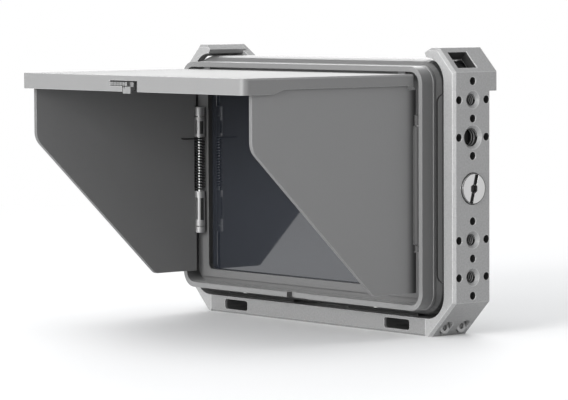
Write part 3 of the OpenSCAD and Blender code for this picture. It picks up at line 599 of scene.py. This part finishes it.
QUARTER_R = 2.55
QUARTER_PITCH = 1.27
QUARTER_RISE = 38
EIGHTHS_R = 3.97
EIGHTHS_PITCH = 1.5875
EIGHTHS_RISE = 22
TAPPED = (
    (QUARTER_RISE, QUARTER_R, QUARTER_PITCH),
    (EIGHTHS_RISE, EIGHTHS_R, EIGHTHS_PITCH),
    (-EIGHTHS_RISE, QUARTER_R, QUARTER_PITCH),
    (-QUARTER_RISE, QUARTER_R, QUARTER_PITCH),
)
LEAD_IN = 1.3
RIDGE_START = 1.1
BASE_START = 0.2
BASE_THREAD_L = 7.5

# Height of a thread's ridge, and as shares of the pitch its half width at foot and tip and the
# depth of its first turn
RIDGE_H = 0.34
RIDGE_FOOT_SHARE = 0.26
RIDGE_TIP_SHARE = 0.1
RIDGE_START_SHARE = 0.5
RIDGE_STEPS = 28


def wind_ridge(shape, at, along, side, up, r, pitch, length):
    """Winds one thread's ridge along a tapped hole's wall."""
    profile = ((r + SKIN, -RIDGE_FOOT_SHARE), (r - RIDGE_H, -RIDGE_TIP_SHARE),
               (r - RIDGE_H, RIDGE_TIP_SHARE), (r + SKIN, RIDGE_FOOT_SHARE))
    count = int((length - pitch) / pitch * RIDGE_STEPS)
    sections = []
    for i in range(count + 1):
        angle = 2 * math.pi * i / RIDGE_STEPS
        depth = pitch * (RIDGE_START_SHARE + i / RIDGE_STEPS)
        spoke = side * math.cos(angle) + up * math.sin(angle)
        sections.append([at + along * (depth + shift * pitch) + spoke * radius
                         for radius, shift in profile])
    first = shape.sweep(sections, closed=False)
    shape.fill(first, len(profile), backwards=True)
    shape.fill(first + len(profile) * count, len(profile))


def add_thread_ridges():
    """Ridges of the threads in the plates and in the base."""
    shape = Shape()
    for way in WAYS:
        for rise, r, pitch in TAPPED:
            wind_ridge(shape, on_plate(way, RIDGE_START, 0, rise), -way * AXIS_X, AXIS_Y, AXIS_Z,
                       r, pitch, PLATE_T - RIDGE_START)
    wind_ridge(shape, BASE_START * AXIS_Z, AXIS_Z, AXIS_X, AXIS_Y, QUARTER_R, QUARTER_PITCH,
               BASE_THREAD_L)
    add_piece("thread_ridges", shape, RIDGES, "base")


ROOT_STEPS = 32
ROOT_END = 0.05


def add_thread_roots():
    """Painted shade in the roots between the ridges of the plates' threads."""
    shape = Shape()
    for way in WAYS:
        for rise, r, _ in TAPPED:
            shape.sweep([circle(on_plate(way, depth, 0, rise), AXIS_Y, AXIS_Z, r - SKIN,
                                ROOT_STEPS) for depth in (LEAD_IN, PLATE_T - ROOT_END)])
    add_piece("thread_roots", shape, SEAM_AND_PAINTED_SHADE, "base")


# Blind locating holes of the plates

LOCATOR_STEP = 8
LOCATOR_RISES = (QUARTER_RISE + LOCATOR_STEP, QUARTER_RISE - LOCATOR_STEP,
                 EIGHTHS_RISE - LOCATOR_STEP)
LOCATOR_LINING_R = 1.73
LOCATOR_START = 0.35
LOCATOR_END = 4.9
LOCATOR_STEPS = 24


def locator_spots():
    """Y and height over the middle of each locating hole."""
    spots = []
    for half in (1, -1):
        spots += [(0, half * rise) for rise in LOCATOR_RISES]
        spots += [(way * LOCATOR_STEP, half * rise) for way in WAYS
                  for rise in (QUARTER_RISE, EIGHTHS_RISE)]
    return spots


def add_hole_linings():
    """Painted shade on the walls and floors of the locating holes."""
    shape = Shape()
    for way in WAYS:
        for y, rise in locator_spots():
            rings = [circle(on_plate(way, depth, y, rise), AXIS_Y, AXIS_Z, LOCATOR_LINING_R,
                            LOCATOR_STEPS) for depth in (LOCATOR_START, LOCATOR_END)]
            first = shape.sweep(rings)
            shape.fill(first + LOCATOR_STEPS, LOCATOR_STEPS)
    add_piece("hole_linings", shape, HOLE, "base")


# Slots of the bottom bar

BAR_LOW, BAR_HIGH = box_mm("bottom_bar")
BAR_SLOT_X = 55.5
BAR_SLOT_Z = 4.15
BAR_SLOT_HALF_L = 8.25
BAR_SLOT_HALF_H = 2.3
BAR_SLOT_R = 1.3
BAR_LINING_FRONT = 1.4
BAR_LINING_REAR = 0.6
BAR_CORNER_STEPS = 5


def add_bar_slot_linings():
    """Painted shade on the walls of the slots in the bar."""
    shape = Shape()
    for way in WAYS:
        shape.sweep([round_rectangle(Vector((way * BAR_SLOT_X, y, BAR_SLOT_Z)), AXIS_X, AXIS_Z,
                                     BAR_SLOT_HALF_L - SKIN, BAR_SLOT_HALF_H - SKIN,
                                     BAR_SLOT_R - SKIN, BAR_CORNER_STEPS)
                     for y in (BAR_LOW.y + BAR_LINING_FRONT, BAR_HIGH.y - BAR_LINING_REAR)])
    add_piece("bar_slot_linings", shape, DARK_PLASTIC_AND_PAINTED_SHADE, "base", smooth=False)


# Strap slots, whose mouths lie in the sloping corners of the plates

SLOPE = math.radians(45)
STRAP_INSET = 5.1
STRAP_Y = -1.35
STRAP_HALF_L = 4.8
STRAP_HALF_W = 5.65
STRAP_R = 0.1
STRAP_CORNER_STEPS = 1
STRAP_START = 0.5
STRAP_END = 4.5


def add_strap_slot_linings():
    """Shaded walls of the strap slots in the ears."""
    shape = Shape()
    for way in WAYS:
        outwards = Vector((way * math.cos(SLOPE), 0, math.sin(SLOPE)))
        downwards = Vector((way * math.cos(SLOPE), 0, -math.sin(SLOPE)))
        mouth = Vector((way * (PLATE_OUT - STRAP_INSET), STRAP_Y, PLATE_HIGH.z - STRAP_INSET))
        shape.sweep([round_rectangle(mouth - outwards * depth, downwards, AXIS_Y,
                                     STRAP_HALF_L - SKIN, STRAP_HALF_W - SKIN, STRAP_R,
                                     STRAP_CORNER_STEPS)
                     for depth in (STRAP_START, STRAP_END)])
    add_piece("strap_slot_linings", shape, HOLE, "base", smooth=False)


# Clamp screws

COIN_FACE = box_mm("right_clamp_screw")[1].x
COIN_R = 6.6
SEAT_GAP = 0.35
SEAT_START = 0.1
SEAT_END = 2.4
SEAT_STEPS = 64
SLOT_TILT = math.radians(15)
SLOT_HALF_W = 1.0
SLOT_DEPTH = 1.3
SLOT_LINING_START = 0.15
SLOT_LINING_END = 0.25
HEX_R = 2.2
HEX_LINING_R = 2.16
HEX_FLAT_SHARE = 0.87
HEX_DEPTH = 2.0
HEX_SIDES = 6
RIM_PROUD = 0.004
RIM_W = 0.3
RIM_EDGE = 0.01
RIM_STEPS = 48


def add_clamp_gaps():
    """Shadowed gap round each clamp screw's head."""
    shape = Shape()
    for way in WAYS:
        top = on_plate(way, SEAT_START, 0, 0)
        bottom = on_plate(way, SEAT_END, 0, 0)
        inner = circle(top, AXIS_Y, AXIS_Z, COIN_R + SKIN, SEAT_STEPS)
        outer = circle(top, AXIS_Y, AXIS_Z, COIN_R + SEAT_GAP - SKIN, SEAT_STEPS)
        deep = circle(bottom, AXIS_Y, AXIS_Z, COIN_R + SEAT_GAP - SKIN, SEAT_STEPS)
        shape.sweep([inner, outer])
        shape.sweep([outer, deep])
    add_piece("clamp_gaps", shape, SEAM_AND_PAINTED_SHADE, "base")


def in_coin(way, depth):
    """A place on a clamp screw's axis, by its depth under the face."""
    return Vector((way * (COIN_FACE - depth), 0, MID_Z))


def line_coin_slot(shape, way):
    """Floor and walls of both arms of a coin slot."""
    along = Vector((0, math.sin(SLOT_TILT), math.cos(SLOT_TILT)))
    across = Vector((0, math.cos(SLOT_TILT), -math.sin(SLOT_TILT)))
    half_w = SLOT_HALF_W - SKIN
    floor = SLOT_DEPTH - SKIN
    profile = ((SLOT_LINING_START, -half_w), (floor, -half_w), (floor, half_w),
               (SLOT_LINING_START, half_w))
    for end in WAYS:
        shape.sweep([[in_coin(way, depth) + along * (end * reach) + across * shift
                      for depth, shift in profile]
                     for reach in (HEX_R * HEX_FLAT_SHARE, COIN_R - SLOT_LINING_END)],
                    closed=False)


def line_hex_socket(shape, way):
    """Floor and walls of the hex socket in the middle of a coin slot."""
    rings = [circle(in_coin(way, depth), AXIS_Z, AXIS_Y, HEX_LINING_R, HEX_SIDES)
             for depth in (HEX_DEPTH - SKIN, SLOT_DEPTH - SKIN)]
    first = shape.sweep(rings)
    shape.fill(first, HEX_SIDES)


def add_coin_slots():
    """Painted shade in the slot and socket of each clamp screw, and a painted dark rim that stands
    for the shade of its edge.
    """
    for body, way in (("left_clamp", -1), ("right_clamp", 1)):
        shape = Shape()
        line_coin_slot(shape, way)
        line_hex_socket(shape, way)
        shape.sweep([circle(in_coin(way, -RIM_PROUD), AXIS_Y, AXIS_Z, r, RIM_STEPS)
                     for r in (COIN_R - RIM_W, COIN_R - RIM_EDGE)])
        add_piece(body + "_slot_shade", shape, HOLE, body, smooth=False)


# Covers in the monitor's sides

COVER_LOW, COVER_HIGH = box_mm("right_side_cover")
COVER_GAP = 0.15
OPENING_FRONT = COVER_LOW.y - COVER_GAP
OPENING_REAR = COVER_HIGH.y + COVER_GAP
OPENING_HALF_H = (COVER_HIGH.z - COVER_LOW.z) / 2 + COVER_GAP
OPENING_R = 4.5
OPENING_STEPS = 8
# Way out from the opening's edge and height over the side, for the seam's three lines
SEAM_PROFILE = ((0.12, 0.03), (-0.38, 0.03), (-0.13, -0.2))

# Depth and half width at each break of the flare, from the straight side to the front
FLARE_REAR = SHELL_HIGH.y
FLARE_FRONT = box_mm("hood_frame")[1].y
FLARE_MID_IN = 0.7
FLARE_FRONT_IN = 2.5
FLARE = (
    (FLARE_REAR, SHELL_HIGH.x),
    ((FLARE_REAR + FLARE_FRONT) / 2, SHELL_HIGH.x - FLARE_MID_IN),
    (FLARE_FRONT, SHELL_HIGH.x - FLARE_FRONT_IN),
)


def half_width(y):
    """Half width of the monitor at a depth: straight, then the flare's two slopes."""
    for (rear, wide), (front, narrow) in zip(FLARE, FLARE[1:]):
        if y >= rear:
            return wide
        if y >= front:
            return wide + (narrow - wide) * (rear - y) / (rear - front)
    return FLARE[-1][1]


def seam_section(way, corner_y, corner_z, angle):
    """The seam's three lines at one angle of a corner of the opening."""
    section = []
    for out, lift in SEAM_PROFILE:
        y = corner_y + (OPENING_R + out) * math.cos(angle)
        z = corner_z + (OPENING_R + out) * math.sin(angle)
        section.append((way * (half_width(y) + lift), y, z))
    return section


def add_cover_seams():
    """Dark joint line round the cover in each side of the monitor."""
    shape = Shape()
    for way in WAYS:
        sections = []
        for start, way_y, way_z in CORNERS:
            corner_y = OPENING_REAR - OPENING_R if way_y > 0 else OPENING_FRONT + OPENING_R
            corner_z = MID_Z + way_z * (OPENING_HALF_H - OPENING_R)
            sections += [seam_section(way, corner_y, corner_z,
                                      corner_angle(start, i, OPENING_STEPS))
                         for i in range(OPENING_STEPS + 1)]
        shape.sweep(sections, looped=True)
    add_piece("cover_seams", shape, SEAM_AND_PAINTED_SHADE, "base")


# Windows in the barrels of the left hinge

PIN_LOW, PIN_HIGH = box_mm("left_hinge_pin")
HINGE_X = (PIN_LOW.x + PIN_HIGH.x) / 2
HINGE_Y = (PIN_LOW.y + PIN_HIGH.y) / 2
BARREL_R = HINGE_X - box_mm("left_hinge_barrels")[0].x
WINDOW_PROUD = 0.02
WINDOW_DEPTH = 0.3
WINDOW_START = -33
WINDOW_SPAN = 40
WINDOW_STEPS = 6
# Lower and upper end of each window
WINDOW_HEIGHTS = ((43.0, 53.3), (83.1, 89.0))


def add_barrel_windows():
    """Dark insets as painted shade for the openings in the barrels, through which the hinge's pin
    is reached.
    """
    shape = Shape()
    outer = BARREL_R + WINDOW_PROUD
    inner = outer - WINDOW_DEPTH
    for low, high in WINDOW_HEIGHTS:
        profile = ((inner, low), (inner, high), (outer, high), (outer, low))
        sections = []
        for i in range(WINDOW_STEPS + 1):
            angle = math.radians(WINDOW_START + WINDOW_SPAN * i / WINDOW_STEPS)
            sections.append([(HINGE_X + r * math.cos(angle), HINGE_Y + r * math.sin(angle), z)
                             for r, z in profile])
        first = shape.sweep(sections)
        shape.fill(first, len(profile), backwards=True)
        shape.fill(first + len(profile) * WINDOW_STEPS, len(profile))
    add_piece("barrel_windows", shape, SEAM_AND_PAINTED_SHADE, "left", smooth=False)


# Stage

FLOOR_HALF = 2.2
FLOOR_COLOR = (0.91, 0.91, 0.91, 1)
FLOOR_ROUGH = 0.7
FLOOR_SPECULAR = 0.2
# Distances from the object's middle between which the floor turns to plain white
FADE_START = 0.14
FADE_END = 0.8
WHITE = (1, 1, 1, 1)
WHITE_STRENGTH = 1.0
SKY_COLOR = (0.9, 0.92, 0.95, 1)
SKY_STRENGTH = 0.38

# Name, place, aim, size and watts of each lamp
LAMPS = (
    ("key", (0.4, -1.75, 0.55), (0, -0.03, 0.06), (0.8, 0.8), 30),
    ("top", (-0.1, -0.1, 1.6), (0, 0, 0.06), (1.6, 1.2), 9),
    ("front", (-0.7, -1.7, 0.8), (0, 0, 0.06), (1.4, 1.0), 8),
    ("side", (1.7, -0.3, 0.6), (0, 0, 0.06), (1.0, 1.0), 6),
    ("back", (-1.2, 1.1, 0.8), (0, -0.05, 0.1), (1.2, 0.8), 9),
)


def plain_rays(tree):
    """1 for the rays that show the backdrop: the picture's own, reflected and transmitted ones."""
    path = tree.nodes.new("ShaderNodeLightPath")
    shown = path.outputs["Is Camera Ray"]
    for name in ("Is Glossy Ray", "Is Transmission Ray"):
        shown = calculate(tree, "MAXIMUM", shown, path.outputs[name])
    return shown


def mix_shaders(tree, factor, first, second):
    """Shader between two shaders."""
    mix = add_node(tree, "ShaderNodeMixShader", {}, {0: factor, 1: first, 2: second})
    return mix.outputs["Shader"]


def floor_white():
    """Pale floor that turns to plain white away from the object, so that no horizon shows."""
    material, tree, shader = new_material("floor_white")
    shader.inputs["Base Color"].default_value = FLOOR_COLOR
    shader.inputs["Roughness"].default_value = FLOOR_ROUGH
    shader.inputs["Specular IOR Level"].default_value = FLOOR_SPECULAR
    far = add_node(tree, "ShaderNodeVectorMath", {"operation": "LENGTH"},
                   {0: coordinates(tree, "Object")})
    fade = map_range(tree, far.outputs["Value"], FADE_START, FADE_END, 0, 1, smooth=True)
    share = calculate(tree, "MULTIPLY", fade, plain_rays(tree))
    white = add_node(tree, "ShaderNodeEmission", {}, {"Strength": WHITE_STRENGTH})
    mixed = mix_shaders(tree, share, shader.outputs["BSDF"], white.outputs["Emission"])
    feed(tree, tree.nodes["Material Output"].inputs["Surface"], mixed)
    return material


def add_floor():
    """Floor under the object, wide enough for every view."""
    mesh = bpy.data.meshes.new("floor")
    corners = [(way_x * FLOOR_HALF, way_y * FLOOR_HALF, 0)
               for way_x, way_y in ((-1, -1), (1, -1), (1, 1), (-1, 1))]
    mesh.from_pydata(corners, [], [(0, 1, 2, 3)])
    mesh.materials.append(floor_white())
    floor = bpy.data.objects.new("floor", mesh)
    COLLECTION.objects.link(floor)


def add_background(tree, color, strength):
    """Light of the surroundings."""
    node = add_node(tree, "ShaderNodeBackground", {}, {"Color": color, "Strength": strength})
    return node.outputs["Background"]


def add_world():
    """Soft light from all around, behind which the picture shows plain white."""
    world = bpy.data.worlds.new("world")
    bpy.context.scene.world = world
    world.use_nodes = True
    tree = world.node_tree
    tree.nodes.clear()
    soft = add_background(tree, SKY_COLOR, SKY_STRENGTH)
    white = add_background(tree, WHITE, WHITE_STRENGTH)
    mixed = mix_shaders(tree, plain_rays(tree), soft, white)
    add_node(tree, "ShaderNodeOutputWorld", {}, {"Surface": mixed})


def add_lamps():
    """Soft studio lamps."""
    for name, at, aim, size, watts in LAMPS:
        data = bpy.data.lights.new(name, "AREA")
        data.shape = "RECTANGLE"
        data.size, data.size_y = size
        data.energy = watts
        lamp = bpy.data.objects.new(name, data)
        lamp.location = at
        towards = Vector(aim) - Vector(at)
        lamp.rotation_euler = towards.to_track_quat("-Z", "Y").to_euler()
        COLLECTION.objects.link(lamp)


bpy.context.scene.view_settings.view_transform = "Standard"
add_camera()
dress_nodes()
add_thread_ridges()
add_thread_roots()
add_hole_linings()
add_bar_slot_linings()
add_strap_slot_linings()
add_clamp_gaps()
add_coin_slots()
add_cover_seams()
add_barrel_windows()
add_floor()
add_world()
add_lamps()
